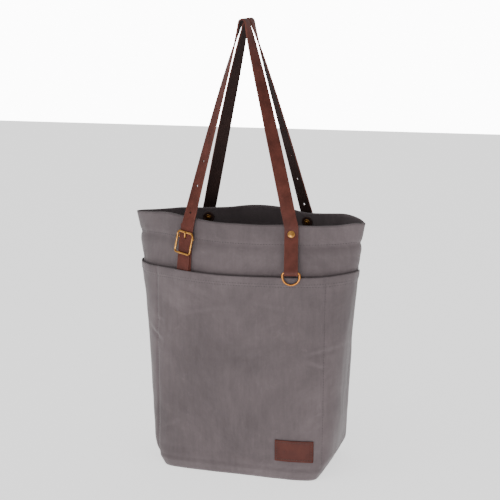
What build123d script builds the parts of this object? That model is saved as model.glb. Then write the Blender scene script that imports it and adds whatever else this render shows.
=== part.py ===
from build123d import *
import math
import os

os.makedirs("parts", exist_ok=True)

# Canvas tote bag with two leather handles, in millimetres. It stands on its base, +Z up,
# with the origin under the middle of the base. The front faces -Y. The straps and their
# hardware on the back are those of the front, turned half a turn about Z.

FRONT = 1
BACK = -1

# ---- Driving dimensions -------------------------------------------------------------

# Outer outline of the canvas: height, half width, half depth, squareness.
# An outline is |x / half width| ** squareness + |y / half depth| ** squareness = 1,
# so a high squareness is a rounded rectangle and a low one is a lens.
STATIONS = [
    (0.0, 124.0, 74.0, 7.0),
    (14.0, 133.0, 77.0, 6.2),
    (34.0, 143.0, 73.5, 5.1),
    (92.0, 151.0, 71.5, 3.75),
    (200.0, 157.0, 69.2, 2.95),
    (310.0, 170.0, 65.0, 2.08),
    (354.0, 174.0, 62.6, 1.67),
    (385.0, 180.5, 59.6, 1.61),
]
OUTLINE_STEPS = 16  # spline spans along half an outline

CANVAS = 1.6  # panel thickness, two plies of waxed canvas
PLY = 1.0  # single ply, used for the pocket and the hem facing
LAYER_GAP = 0.2  # air between neighbouring canvas layers
RIM_HEIGHT = STATIONS[-1][0]
HEM_DEPTH = 31.0

POCKET_BOTTOM = 12.0
POCKET_TOP = 310.0
POCKET_MOUTH = 5.8  # how far the pocket's top edge stands off the front panel

SEAM_BINDING_WIDTH = 12.0
SEAM_BINDING_THICKNESS = 3.0
SEAM_GAP = 2.0  # between the binding's top and the hem facing

STRAP_WIDTH = 20.0
LEATHER = 2.5
STRAP_X = 81.0  # from the middle to the rivet at the D-ring end
BUCKLE_X = 80.0  # from the middle to the buckle
STRAP_YAW = 12.0  # turn of a strap end about Z, as the canvas curves away, degrees
RIVET_HEIGHT = 371.0
HINGE_HEIGHT = 381.0  # where a handle bends when it folds down
HINGE_GAP = 0.5  # gap left between a strap's fixed end and the loop above it

APEX_HEIGHT = 677.0  # middle of the leather at the top of a handle
APEX_Y = 13.0  # how far each handle's top stands from the middle
APEX_RADIUS = 5.0
FIRST_TWIST = 53.0  # part of the twist spread along the leg, degrees
LAST_TWIST = 25.0  # part of the twist gathered near the top, degrees
LEG_STEPS = 12

HOLE_RADIUS = 1.8
HOLE_PITCH = 39.5
HOLE_COUNT = 5
FIRST_HOLE = 15.0  # from the fold line to the first hole

BUCKLE_DROP = 20.0  # rivet to buckle centre, along the strap
BUCKLE_LEAN = 9.0  # the buckle and the strap above it lean inwards, degrees
BUCKLE_WIDTH = 29.0
BUCKLE_HEIGHT = 35.0
BUCKLE_WIRE = 2.8
BAR_RISE = 8.0  # from the buckle's centre up to its hidden bar
BAR_THICKNESS = 0.8
TONGUE_RADIUS = 1.2
TONGUE_FOOT_RADIUS = 1.0  # where the tongue passes down through the strap to its bar
TONGUE_GAP = 0.3  # between the tongue's foot and the canvas side of the anchor strap
LUG_NARROWING = 0.4  # the bar's lugs are this much narrower than the frame's wire
ANCHOR_LENGTH = 74.0  # rivet to the anchor strap's lower end, inside the pocket
TAIL_LENGTH = 34.0  # buckle centre to the lower end of the handle strap
STRAP_TOP = 8.0  # leather above the rivet

RIVET_CAP_RADIUS = 5.5
RIVET_CAP_HEIGHT = 1.8
RIVET_POST_RADIUS = 1.9
RIVET_TAPER = 25  # slope of a cap's edge, degrees
WASHER_RADIUS = 8.75
BURR_RADIUS = 4.75
BURR_HEIGHT = 1.4
BURR_TAPER = 20

D_RING_DROP = 56.0  # rivet to the D-ring's straight bar, along the strap
D_RING_WIRE = 1.5  # wire radius
D_RING_HALF_WIDTH = 12.5  # to the middle of the wire
D_RING_LENGTH = 18.0  # straight bar to the lowest wire middle
D_RING_CORNER = 3.0  # bend between the straight bar and each side
D_RING_OFFSET = 12.0  # how far the bar stands off the canvas
EYE_RADIUS = 1.9  # leather eye that the bar turns in
TEARDROP = 16.0  # length over which the doubled leather closes above the bar

PATCH_LEFT = 60.5
PATCH_RIGHT = 118.0
PATCH_BOTTOM = 29.5
PATCH_TOP = 62.0
PATCH_THICKNESS = 2.0
PATCH_STEPS = 6
PATCH_GAP = 0.3

# ---- Outline helpers ----------------------------------------------------------------


def station(height):
    """Half width, half depth and squareness of the canvas at a height."""
    for lower, upper in zip(STATIONS, STATIONS[1:]):
        if lower[0] <= height <= upper[0]:
            share = (height - lower[0]) / (upper[0] - lower[0])
            return [a + (b - a) * share for a, b in zip(lower[1:], upper[1:])]
    raise ValueError("height outside the bag")


def heights_between(bottom, top):
    """The station heights inside a range, with the range's own ends."""
    inner = [row[0] for row in STATIONS if bottom < row[0] < top]
    return [bottom, *inner, top]


def outline_points(height, grow_width, grow_depth, side):
    """Points of half an outline, from one side seam round the front or back to the other."""
    half_width, half_depth, squareness = station(height)
    points = []
    for step in range(OUTLINE_STEPS + 1):
        angle = math.pi * step / OUTLINE_STEPS
        along = math.copysign(abs(math.cos(angle)) ** (2 / squareness), math.cos(angle))
        across = abs(math.sin(angle)) ** (2 / squareness)
        if step in (0, OUTLINE_STEPS):
            across = 0.0
        x = -(half_width + grow_width) * along
        y = -side * (half_depth + grow_depth) * across
        points.append((x, y))
    return points


def canvas_y(x, height):
    """Distance from the XZ plane to the outer face of the canvas."""
    half_width, half_depth, squareness = station(height)
    return half_depth * (1 - (abs(x) / half_width) ** squareness) ** (1 / squareness)


def half_shell_section(height, outer, inner, side):
    """A sketch of one cut through half a canvas shell, between two outlines."""
    with BuildSketch(Plane.XY.offset(height)) as section:
        with BuildLine():
            outside = Spline(*outline_points(height, *outer, side))
            inside = Spline(*outline_points(height, *inner, side))
            Line(outside @ 0, inside @ 0)
            Line(outside @ 1, inside @ 1)
        make_face()
    return section.sketch


# ---- Strap frames -------------------------------------------------------------------

PITCH = math.degrees(
    math.atan2(
        canvas_y(STRAP_X, POCKET_TOP) - canvas_y(STRAP_X, RIM_HEIGHT),
        RIM_HEIGHT - POCKET_TOP,
    )
)
END_PITCH = PITCH + math.degrees(math.atan2(D_RING_OFFSET - LEATHER, D_RING_DROP))


def turned(x, y, z, side):
    """A point of the front, turned to the back when side is BACK."""
    return Vector(side * x, side * y, z)


def strap_plane(hand, side, pitch, drop=0.0):
    """
    Plane of a strap end, centred on its rivet or a given drop below it. X runs across the
    strap, Y up along it and Z away from the bag. hand is 1 for the end with the D-ring and
    -1 for the buckle's.
    """
    distance = STRAP_X if hand > 0 else BUCKLE_X
    slope = math.tan(math.radians(PITCH))
    rivet_y = canvas_y(distance, RIM_HEIGHT) + LAYER_GAP + slope * (RIM_HEIGHT - RIVET_HEIGHT)
    yaw = math.radians(STRAP_YAW) * hand
    lean = math.radians(pitch)
    across = turned(math.cos(yaw), math.sin(yaw), 0, side)
    inward = turned(-math.sin(yaw), math.cos(yaw), 0, side)
    along = inward * math.sin(lean) + Vector(0, 0, math.cos(lean))
    centre = turned(hand * distance, -rivet_y, RIVET_HEIGHT, side)
    return Plane(centre - along * drop, x_dir=across, z_dir=across.cross(along))


def anchor_plane(side):
    return strap_plane(-1, side, PITCH)


def buckle_plane(side):
    """Plane centred on the buckle and leaning with it towards the middle of the bag."""
    return Plane(strap_plane(-1, side, PITCH, BUCKLE_DROP).location * Rot(0, 0, -BUCKLE_LEAN))


def ring_plane(side, drop=0.0):
    return strap_plane(1, side, END_PITCH, drop)


# Distances of the layers from the canvas, at the buckle end.
ANCHOR_FLOOR = 0.4
BAR_FLOOR = ANCHOR_FLOOR + LEATHER + 0.05
TAIL_FLOOR = BAR_FLOOR + BAR_THICKNESS + 0.15
FRAME_FLOOR = TAIL_FLOOR + LEATHER + 0.1
CANVAS_CURVE = 1.4  # how far the curved canvas stands behind the flat strap plane
INSIDE_FLOOR = -(CANVAS + PLY + 2 * LAYER_GAP + CANVAS_CURVE)  # inner face of the hem facing
BURR_FLOOR = INSIDE_FLOOR - LEATHER - 0.05
POST_END = BURR_FLOOR - BURR_HEIGHT / 2

# The D-ring end: two layers of leather, folded round the ring's bar.
RING_FLOOR = 1.3  # inner face of the doubled leather at the rivet
DOUBLED = 2 * LEATHER
EYE_OUTER = EYE_RADIUS + LEATHER
RING_W = RING_FLOOR + DOUBLED - EYE_OUTER  # height of the bar over the strap plane

# Heights of the fold line above the rivet and above the buckle, along the strap.
HINGE_RISE = (HINGE_HEIGHT - RIVET_HEIGHT) / math.cos(math.radians(PITCH))
BUCKLE_RISE = (HINGE_RISE + BUCKLE_DROP) / math.cos(math.radians(BUCKLE_LEAN))

# ---- Canvas -------------------------------------------------------------------------


def canvas_shell(label, bottom, top, growth, thickness, side):
    """
    Half a canvas shell. growth gives how far its outer face stands outside the bag's
    outline at a height, as a pair for width and depth.
    """
    with BuildPart() as shell:
        for height in heights_between(bottom, top):
            outer = growth(height)
            inner = (outer[0] - thickness, outer[1] - thickness)
            add(half_shell_section(height, outer, inner, side))
        loft(ruled=True)
    shell.part.label = label
    return shell


def flush(height):
    return (0.0, 0.0)


def facing_growth(height):
    inset = -(CANVAS + LAYER_GAP)
    return (inset, inset)


def pocket_growth(height):
    rise = max(0.0, (height - STATIONS[3][0]) / (POCKET_TOP - STATIONS[3][0]))
    skin = LAYER_GAP + PLY
    return (skin, skin + POCKET_MOUTH * rise**2)


HOLE_CUT = 12.0  # long enough to pass every canvas layer at the rim


def rivet_holes(side, radius):
    """Cuts the holes for the two strap rivets of one side through the current part."""
    for plane in (strap_plane(1, side, PITCH), anchor_plane(side)):
        with Locations(plane.offset(INSIDE_FLOOR)):
            Cylinder(radius, HOLE_CUT, mode=Mode.SUBTRACT)


RIVET_CLEARANCE = RIVET_POST_RADIUS + 0.15

for panel_name, side in (("front_panel", FRONT), ("back_panel", BACK)):
    shell = canvas_shell(panel_name, CANVAS, RIM_HEIGHT, flush, CANVAS, side)
    with BuildPart() as panel:
        add(shell.part)
        rivet_holes(side, RIVET_CLEARANCE)
    panel.part.label = panel_name
    export_step(panel.part, f"parts/{panel_name}.step")

with BuildPart() as base_panel:
    for height in (0.0, CANVAS):
        with BuildSketch(Plane.XY.offset(height)):
            with BuildLine():
                Spline(*outline_points(height, 0, 0, FRONT))
                Spline(*outline_points(height, 0, 0, BACK))
            make_face()
    loft(ruled=True)
base_panel.part.label = "base_panel"
export_step(base_panel.part, "parts/base_panel.step")

front_pocket = canvas_shell(
    "front_pocket", POCKET_BOTTOM, POCKET_TOP, pocket_growth, PLY, FRONT
)
export_step(front_pocket.part, "parts/front_pocket.step")

for facing_name, side in (("front_hem_facing", FRONT), ("back_hem_facing", BACK)):
    shell = canvas_shell(
        facing_name, RIM_HEIGHT - HEM_DEPTH, RIM_HEIGHT, facing_growth, PLY, side
    )
    with BuildPart() as facing:
        add(shell.part)
        rivet_holes(side, RIVET_CLEARANCE)
    facing.part.label = facing_name
    export_step(facing.part, f"parts/{facing_name}.step")

# A bound seam stands inside the bag at each side, below the hem facing.
BINDING_STATIONS = heights_between(STATIONS[2][0], RIM_HEIGHT - HEM_DEPTH - SEAM_GAP)
for binding_name, hand in (("left_seam_binding", -1), ("right_seam_binding", 1)):
    with BuildPart() as binding:
        for height in BINDING_STATIONS:
            reach = station(height)[0] - CANVAS - 2 * LAYER_GAP - SEAM_BINDING_WIDTH / 2
            with BuildSketch(Plane.XY.offset(height)):
                with Locations((hand * reach, 0)):
                    Rectangle(SEAM_BINDING_WIDTH, SEAM_BINDING_THICKNESS)
        loft(ruled=True)
    binding.part.label = binding_name
    export_step(binding.part, f"parts/{binding_name}.step")


def pocket_y(x, height, lift):
    """Distance from the XZ plane to a surface that stands off the pocket by lift."""
    half_width, half_depth, squareness = station(height)
    grow_width, grow_depth = pocket_growth(height)
    across = abs(x) / (half_width + grow_width + lift)
    return (half_depth + grow_depth + lift) * (1 - across**squareness) ** (1 / squareness)


# The leather patch lies on the pocket, low on the right, and bends with it.
with BuildPart() as leather_patch:
    step = (PATCH_RIGHT - PATCH_LEFT) / PATCH_STEPS
    xs = [PATCH_LEFT + step * number for number in range(PATCH_STEPS + 1)]
    for height in heights_between(PATCH_BOTTOM, PATCH_TOP):
        with BuildSketch(Plane.XY.offset(height)):
            with BuildLine():
                rows = []
                for lift in (PATCH_GAP, PATCH_GAP + PATCH_THICKNESS):
                    rows.append(Spline(*[(x, -pocket_y(x, height, lift)) for x in xs]))
                Line(rows[0] @ 0, rows[1] @ 0)
                Line(rows[0] @ 1, rows[1] @ 1)
            make_face()
    loft(ruled=True)
leather_patch.part.label = "leather_patch"
export_step(leather_patch.part, "parts/leather_patch.step")

# ---- Straps fixed to the bag ----------------------------------------------------------


def anchor_strap(name, side):
    """Strap that carries the buckle, riveted near the rim and sewn down in the pocket."""
    plane = anchor_plane(side)
    buckle_at = buckle_plane(side)
    with BuildPart() as strap:
        with BuildSketch(plane.offset(ANCHOR_FLOOR)):
            with Locations((0, (STRAP_TOP - ANCHOR_LENGTH) / 2)):
                Rectangle(STRAP_WIDTH, STRAP_TOP + ANCHOR_LENGTH)
        extrude(amount=LEATHER)
        for hole in (plane, buckle_at * Pos(0, BAR_RISE, 0)):
            with Locations(hole * Pos(0, 0, ANCHOR_FLOOR + LEATHER / 2)):
                Cylinder(RIVET_CLEARANCE, LEATHER * 2, mode=Mode.SUBTRACT)
    strap.part.label = name
    export_step(strap.part, f"parts/{name}.step")


def strap_tail(name, side):
    """
    The handle strap's holed end, below the fold line: it leans with the buckle, passes
    under its frame and goes straight down into the pocket.
    """
    plane = buckle_plane(side)
    top = BUCKLE_RISE - HINGE_GAP / 2
    with BuildPart() as strap:
        with BuildSketch(plane.offset(TAIL_FLOOR)):
            with Locations((0, top / 2)):
                Rectangle(STRAP_WIDTH, top)
            Circle(STRAP_WIDTH / 2)
            with Locations(Rot(0, 0, BUCKLE_LEAN) * Pos(0, -TAIL_LENGTH / 2, 0)):
                Rectangle(STRAP_WIDTH, TAIL_LENGTH)
        extrude(amount=LEATHER)
        with Locations(plane * Pos(0, BAR_RISE, TAIL_FLOOR + LEATHER / 2)):
            Cylinder(HOLE_RADIUS, LEATHER * 2, mode=Mode.SUBTRACT)
    strap.part.label = name
    export_step(strap.part, f"parts/{name}.step")


def strap_end(name, side):
    """The handle strap's other end, doubled back round the D-ring's bar and riveted."""
    plane = ring_plane(side)
    across = Plane(plane.origin, x_dir=plane.z_dir, z_dir=plane.x_dir)
    rise = 1 if across.y_dir.dot(plane.y_dir) > 0 else -1
    with BuildPart() as strap:
        with BuildSketch(across):
            outer_face = RING_FLOOR + DOUBLED
            tilt = outer_face * math.tan(math.radians(END_PITCH - PITCH))
            top = rise * (HINGE_RISE - HINGE_GAP / 2 - tilt)
            bar = rise * -D_RING_DROP
            with Locations((outer_face - LEATHER / 2, (top + bar) / 2)):
                Rectangle(LEATHER, abs(top - bar))
            with BuildLine():
                Polyline(
                    (outer_face, bar),
                    (outer_face, rise * STRAP_TOP),
                    (RING_FLOOR, rise * STRAP_TOP),
                    (RING_FLOOR, bar + rise * TEARDROP),
                    (RING_W - EYE_OUTER, bar),
                    close=True,
                )
            make_face()
            with Locations((RING_W, bar)):
                Circle(EYE_OUTER)
                Circle(EYE_RADIUS, mode=Mode.SUBTRACT)
        extrude(amount=STRAP_WIDTH / 2, both=True)
        with Locations(plane.offset(RING_FLOOR + LEATHER)):
            Cylinder(RIVET_CLEARANCE, DOUBLED * 2, mode=Mode.SUBTRACT)
    strap.part.label = name
    export_step(strap.part, f"parts/{name}.step")


# ---- Brass and rivets -----------------------------------------------------------------


def buckle(name, side):
    """Brass frame over the strap, with a hidden bar whose tongue comes up through the hole."""
    plane = buckle_plane(side)
    bar_height = 2 * BUCKLE_WIRE
    lug_x = BUCKLE_WIDTH - BUCKLE_WIRE
    top_bar = (BUCKLE_HEIGHT - BUCKLE_WIRE) / 2
    tongue_top = FRAME_FLOOR + BUCKLE_WIRE / 2
    with BuildPart() as frame:
        with BuildSketch(plane.offset(FRAME_FLOOR)):
            RectangleRounded(BUCKLE_WIDTH, BUCKLE_HEIGHT, BUCKLE_WIRE)
            RectangleRounded(
                BUCKLE_WIDTH - 2 * BUCKLE_WIRE,
                BUCKLE_HEIGHT - 2 * BUCKLE_WIRE,
                BUCKLE_WIRE / 2,
                mode=Mode.SUBTRACT,
            )
        extrude(amount=BUCKLE_WIRE)
        outer_face = frame.faces().sort_by(Axis(plane.origin, plane.z_dir))[-1]
        fillet(outer_face.edges(), BUCKLE_WIRE / 4)
        with BuildSketch(plane.offset(BAR_FLOOR)):
            with Locations((-lug_x / 2, BAR_RISE), (lug_x / 2, BAR_RISE)):
                Rectangle(BUCKLE_WIRE - LUG_NARROWING, bar_height)
        extrude(amount=tongue_top - BAR_FLOOR)
        with BuildSketch(plane.offset(BAR_FLOOR)):
            with Locations((0, BAR_RISE)):
                Rectangle(lug_x, bar_height)
        extrude(amount=BAR_THICKNESS)
        with BuildSketch(plane.offset(ANCHOR_FLOOR + TONGUE_GAP)):
            with Locations((0, BAR_RISE)):
                Circle(TONGUE_FOOT_RADIUS)
        extrude(amount=tongue_top - ANCHOR_FLOOR - TONGUE_GAP)
        tongue_start = BAR_RISE - TONGUE_RADIUS
        tongue_middle = (tongue_start + top_bar) / 2
        with Locations(plane * Location((0, tongue_middle, tongue_top), (90, 0, 0))):
            Cylinder(TONGUE_RADIUS, top_bar - tongue_start)
    frame.part.label = name
    export_step(frame.part, f"parts/{name}.step")


def rivets(name, side):
    """Two rivets: a domed cap over the doubled end, and a flat head under the other end."""
    ring = ring_plane(side)
    flat = anchor_plane(side)
    cap_floor = RING_FLOOR + DOUBLED + 0.05
    with BuildPart() as pair:
        with BuildSketch(ring.offset(cap_floor)):
            Circle(RIVET_CAP_RADIUS)
        extrude(amount=RIVET_CAP_HEIGHT, taper=RIVET_TAPER)
        with BuildSketch(ring):
            Circle(RIVET_POST_RADIUS)
        extrude(amount=cap_floor + RIVET_CAP_HEIGHT / 2)
        with BuildSketch(strap_plane(1, side, PITCH).offset(POST_END)):
            Circle(RIVET_POST_RADIUS)
        extrude(amount=RING_FLOOR - POST_END)
        with BuildSketch(flat.offset(BAR_FLOOR)):
            Circle(RIVET_CAP_RADIUS)
        extrude(amount=BAR_THICKNESS)
        with BuildSketch(flat.offset(POST_END)):
            Circle(RIVET_POST_RADIUS)
        extrude(amount=BAR_FLOOR + BAR_THICKNESS / 2 - POST_END)
    pair.part.label = name
    export_step(pair.part, f"parts/{name}.step")


def inside_discs(name, side, radius, floor, height, taper):
    """Two discs on the rivets, inside the bag: leather washers or brass burrs."""
    with BuildPart() as discs:
        for plane in (strap_plane(1, side, PITCH), anchor_plane(side)):
            inward = Plane(plane.origin, x_dir=plane.x_dir, z_dir=-plane.z_dir)
            with BuildSketch(inward.offset(-floor)):
                Circle(radius)
            extrude(amount=height, taper=taper)
            with Locations(inward.offset(-floor)):
                Cylinder(RIVET_CLEARANCE, height * 4, mode=Mode.SUBTRACT)
    discs.part.label = name
    export_step(discs.part, f"parts/{name}.step")


def d_ring(name, side):
    """Bent wire D whose straight bar turns in the strap's leather eye."""
    plane = ring_plane(side, D_RING_DROP).offset(RING_W)
    down = Plane(plane.origin, x_dir=plane.x_dir, z_dir=plane.x_dir.cross(Vector(0, 0, 1)))
    corner = D_RING_CORNER
    with BuildPart() as ring:
        with BuildLine(down) as path:
            half = D_RING_HALF_WIDTH
            low = -D_RING_LENGTH
            shoulder = low + half
            bar_line = Line((-half + corner, 0), (half - corner, 0))
            RadiusArc((half - corner, 0), (half, -corner), corner)
            Line((half, -corner), (half, shoulder))
            ThreePointArc((half, shoulder), (0, low), (-half, shoulder))
            Line((-half, shoulder), (-half, -corner))
            RadiusArc((-half, -corner), (-half + corner, 0), corner)
        with BuildSketch(Plane(bar_line @ 0, z_dir=bar_line % 0)):
            Circle(D_RING_WIRE)
        sweep(path=path.line)
    ring.part.label = name
    export_step(ring.part, f"parts/{name}.step")


# ---- Handle loops ---------------------------------------------------------------------


def leg_section(hand, side, share):
    """Plane across a handle's leg. share runs from 0 at the fold line to 1 at the top."""
    if hand > 0:
        foot = strap_plane(1, side, PITCH).offset(RING_FLOOR + LEATHER * 1.5)
        rise = HINGE_RISE
    else:
        foot = buckle_plane(side).offset(TAIL_FLOOR + LEATHER / 2)
        rise = BUCKLE_RISE
    start = foot.origin + foot.y_dir * (rise + HINGE_GAP / 2)
    lean = math.atan2(STRAP_X - APEX_RADIUS, APEX_HEIGHT - HINGE_HEIGHT)
    end = turned(
        hand * APEX_RADIUS * math.cos(lean),
        -APEX_Y,
        APEX_HEIGHT - APEX_RADIUS + APEX_RADIUS * math.sin(lean),
        side,
    )
    if share == 0:
        return Plane(start, x_dir=foot.x_dir, z_dir=foot.y_dir * -hand)
    twist = STRAP_YAW + FIRST_TWIST * share**0.85 + LAST_TWIST * share**6
    width = turned(math.cos(math.radians(twist)), hand * math.sin(math.radians(twist)), 0, side)
    along = (end - start).normalized() * -hand
    across = (width - along * width.dot(along)).normalized()
    return Plane(start + (end - start) * share, x_dir=across, z_dir=along)


def arc_section(angle, side):
    """Plane across the bend at a handle's top. angle is 90 at the highest point."""
    radians = math.radians(angle)
    centre = turned(
        APEX_RADIUS * math.cos(radians),
        -APEX_Y,
        APEX_HEIGHT - APEX_RADIUS + APEX_RADIUS * math.sin(radians),
        side,
    )
    along = turned(math.sin(radians), 0, -math.cos(radians), side)
    return Plane(centre, x_dir=turned(0, 1, 0, side), z_dir=along)


def handle_strap(name, side):
    """One leather loop: up from the buckle end, over the top and down to the D-ring end."""
    shares = [step / LEG_STEPS for step in range(LEG_STEPS + 1)]
    planes = [leg_section(-1, side, share) for share in shares]
    planes += [arc_section(angle, side) for angle in (150, 120, 90, 60, 30)]
    planes += [leg_section(1, side, share) for share in reversed(shares)]
    with BuildPart() as strap:
        for plane in planes:
            with BuildSketch(plane):
                Rectangle(STRAP_WIDTH, LEATHER)
        loft(ruled=True)
        leg_length = (planes[0].origin - planes[LEG_STEPS].origin).length
        for number in range(HOLE_COUNT):
            share = (FIRST_HOLE + number * HOLE_PITCH) / leg_length
            section = leg_section(-1, side, share)
            face = Plane(section.origin, x_dir=section.x_dir, z_dir=section.y_dir)
            with Locations(face):
                Cylinder(HOLE_RADIUS, LEATHER * 3, mode=Mode.SUBTRACT)
    strap.part.label = name
    export_step(strap.part, f"parts/{name}.step")


for prefix, side in (("front", FRONT), ("back", BACK)):
    anchor_strap(f"{prefix}_anchor_strap", side)
    strap_tail(f"{prefix}_strap_tail", side)
    strap_end(f"{prefix}_strap_end", side)
    buckle(f"{prefix}_buckle", side)
    rivets(f"{prefix}_rivets", side)
    inside_discs(f"{prefix}_rivet_washers", side, WASHER_RADIUS, INSIDE_FLOOR, LEATHER, 0)
    inside_discs(f"{prefix}_rivet_burrs", side, BURR_RADIUS, BURR_FLOOR, BURR_HEIGHT, BURR_TAPER)
    d_ring(f"{prefix}_d_ring", side)
    handle_strap(f"{prefix}_handle_strap", side)
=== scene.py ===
import math

import bmesh
import bpy
from mathutils import Matrix, Vector, noise


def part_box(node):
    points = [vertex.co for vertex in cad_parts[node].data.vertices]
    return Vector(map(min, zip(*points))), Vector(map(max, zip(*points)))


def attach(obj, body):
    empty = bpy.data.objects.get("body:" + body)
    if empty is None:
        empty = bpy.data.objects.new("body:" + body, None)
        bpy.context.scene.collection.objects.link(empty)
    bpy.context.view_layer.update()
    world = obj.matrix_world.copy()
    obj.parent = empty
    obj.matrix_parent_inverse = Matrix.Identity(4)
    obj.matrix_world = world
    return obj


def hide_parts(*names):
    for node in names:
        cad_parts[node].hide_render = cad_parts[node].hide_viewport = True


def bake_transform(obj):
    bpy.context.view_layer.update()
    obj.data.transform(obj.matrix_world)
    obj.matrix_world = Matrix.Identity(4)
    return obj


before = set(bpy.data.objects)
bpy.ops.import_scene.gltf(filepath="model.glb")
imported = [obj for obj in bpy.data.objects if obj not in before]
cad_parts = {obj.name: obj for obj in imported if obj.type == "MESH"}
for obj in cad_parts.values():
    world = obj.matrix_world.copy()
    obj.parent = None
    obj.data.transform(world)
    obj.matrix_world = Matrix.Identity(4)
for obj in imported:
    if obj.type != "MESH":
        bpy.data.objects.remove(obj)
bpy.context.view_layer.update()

# ---- Canvas body ----------------------------------------------------------------------
# Front, back and base are waxed cotton canvas, sewn up the sides and boxed at the bottom.
# The cloth stands by its own stiffness: a rounded box at the base, a lens at the rim.

MM = 0.001
RIM_HALF_WIDTH = (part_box("front_panel")[1].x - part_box("front_panel")[0].x) / 2
RIM_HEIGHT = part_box("front_panel")[1].z
POCKET_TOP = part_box("front_pocket")[1].z
HEM_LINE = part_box("front_hem_facing")[0].z
CANVAS = 1.6 * MM

# Height, half width, half depth, and how square the outline is (2 is an ellipse).
STATIONS = [
    (0.0, 0.687 * RIM_HALF_WIDTH, 74 * MM, 8.5),
    (14 * MM, 0.737 * RIM_HALF_WIDTH, 77 * MM, 7.2),
    (34 * MM, 0.792 * RIM_HALF_WIDTH, 73.5 * MM, 5.1),
    (92 * MM, 0.837 * RIM_HALF_WIDTH, 71.5 * MM, 3.75),
    (200 * MM, 0.870 * RIM_HALF_WIDTH, 69.2 * MM, 2.95),
    (POCKET_TOP, 0.942 * RIM_HALF_WIDTH, 65 * MM, 2.08),
    (HEM_LINE, 0.964 * RIM_HALF_WIDTH, 62.6 * MM, 1.67),
    (RIM_HEIGHT, RIM_HALF_WIDTH, 59.6 * MM, 1.61),
]


def station(height):
    """Half width, half depth and squareness of the canvas at a height."""
    height = min(max(height, 0.0), RIM_HEIGHT)
    for lower, upper in zip(STATIONS, STATIONS[1:]):
        if height <= upper[0]:
            share = (height - lower[0]) / (upper[0] - lower[0])
            return [a + (b - a) * share for a, b in zip(lower[1:], upper[1:])]
    return list(STATIONS[-1][1:])


def canvas_y(x, height):
    """Distance from the middle plane to the outside of the canvas."""
    half_width, half_depth, squareness = station(height)
    return half_depth * (1 - (abs(x) / half_width) ** squareness) ** (1 / squareness)


def outline(height, count):
    """Points round the canvas at a height, evenly spaced from the right side seam."""
    half_width, half_depth, squareness = station(height)
    fine = []
    for step in range(721):
        angle = math.tau * step / 720
        c, s = math.cos(angle), math.sin(angle)
        fine.append(Vector((
            half_width * math.copysign(abs(c) ** (2 / squareness), c),
            half_depth * math.copysign(abs(s) ** (2 / squareness), s),
            height,
        )))
    lengths = [0.0]
    for a, b in zip(fine, fine[1:]):
        lengths.append(lengths[-1] + (b - a).length)
    points, at = [], 0
    for number in range(count + 1):
        goal = lengths[-1] * number / count
        while at < len(lengths) - 2 and lengths[at + 1] < goal:
            at += 1
        share = (goal - lengths[at]) / (lengths[at + 1] - lengths[at])
        points.append(fine[at].lerp(fine[at + 1], share))
    return points


def hump(value, centre, width):
    """A smooth bump of height 1 round a centre."""
    return math.exp(-(((value - centre) / width) ** 2))


# Where the cloth has kept a crease on the front: across, height, slant in degrees, half
# length and depth, in millimetres.
CREASES = [
    (-133, 205, -38, 13, 1.5), (-126, 228, -20, 10, 0.8), (127, 196, 14, 20, 1.3),
    (118, 176, -24, 16, 0.9), (-104, 66, 28, 22, 0.9), (96, 112, 64, 26, 0.7),
    (30, 150, -72, 34, 0.6), (-48, 250, 12, 30, 0.7), (52, 262, -10, 26, 0.6),
]


def drape(point):
    """How far the cloth stands out of its plain outline here, in metres."""
    x, y, z = point / MM
    side = 1 if y < 0 else -1
    rim = RIM_HEIGHT / MM
    out = 1.6 * noise.noise(Vector((x, y, z)) / 75)
    out += 0.7 * noise.noise(Vector((x, y * 1.3, z)) / 28 + Vector((7, 3, 1)))
    for across, height, slant, reach, depth in CREASES:
        turn = math.radians(slant)
        dx, dz = x - across, z - height
        along = dx * math.cos(turn) + dz * math.sin(turn)
        beside = dz * math.cos(turn) - dx * math.sin(turn)
        fold = hump(beside, 0, 3.2) - 0.6 * hump(beside, 6.5, 3.5)
        out -= depth * fold * hump(along, 0, reach) * (1 if side > 0 else 0)
    # The cloth draws in along the hem's stitching and stands full between the rows.
    out -= 1.5 * hump(z, HEM_LINE / MM, 3.5)
    out += 1.0 * hump(z, HEM_LINE / MM - 12, 7)
    out -= 1.2 * hump(z, POCKET_TOP / MM + 6, 7) * (1 - hump(x, 0, 90))
    # Soft upright waves below the rim, deepest halfway to the corners.
    wave = math.sin(x / 17 + 0.9 * side) * hump(abs(x), 118, 42)
    out += 1.5 * wave * hump(z, rim, 60)
    # The riveted straps hold the cloth flat behind them.
    out *= 1 - 0.85 * hump(abs(x), 83, 19) * min(max((z - 290) / 30, 0), 1)
    # The sides hang in a little above the boxed corners.
    out -= 1.5 * hump(y, 0, 26) * hump(z, 150, 60)
    out -= 0.9 * hump(z, 18, 3.5)
    out += 0.5 * noise.noise(Vector((x / 9, y / 9, z / 60)))
    return out * MM


def rim_dip(point):
    """How far the rim sags or lifts here, in metres."""
    x, y, z = point / MM
    share = min(max((z - 300) / (RIM_HEIGHT / MM - 300), 0), 1) ** 2
    side = 1 if y < 0 else -1
    dip = 0.9 * math.sin(x / 29 + 1.1 * side) + 1.4 * noise.noise(Vector((x / 40, side * 2.0, 0.5)))
    if side > 0:
        dip += 7.5 * hump(x, -108, 50) - 1.5 * hump(x, 10, 45) - 2.2 * hump(x, 150, 22)
    else:
        dip += 7.8 * hump(x, 5, 45) + 5.0 * hump(x, 142, 30) - 1.5 * hump(x, 75, 22)
    dip *= 1 - hump(abs(x), RIM_HALF_WIDTH / MM, 9)
    dip -= 2.4 * hump(x, RIM_HALF_WIDTH / MM, 9)
    return dip * share * MM


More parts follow.
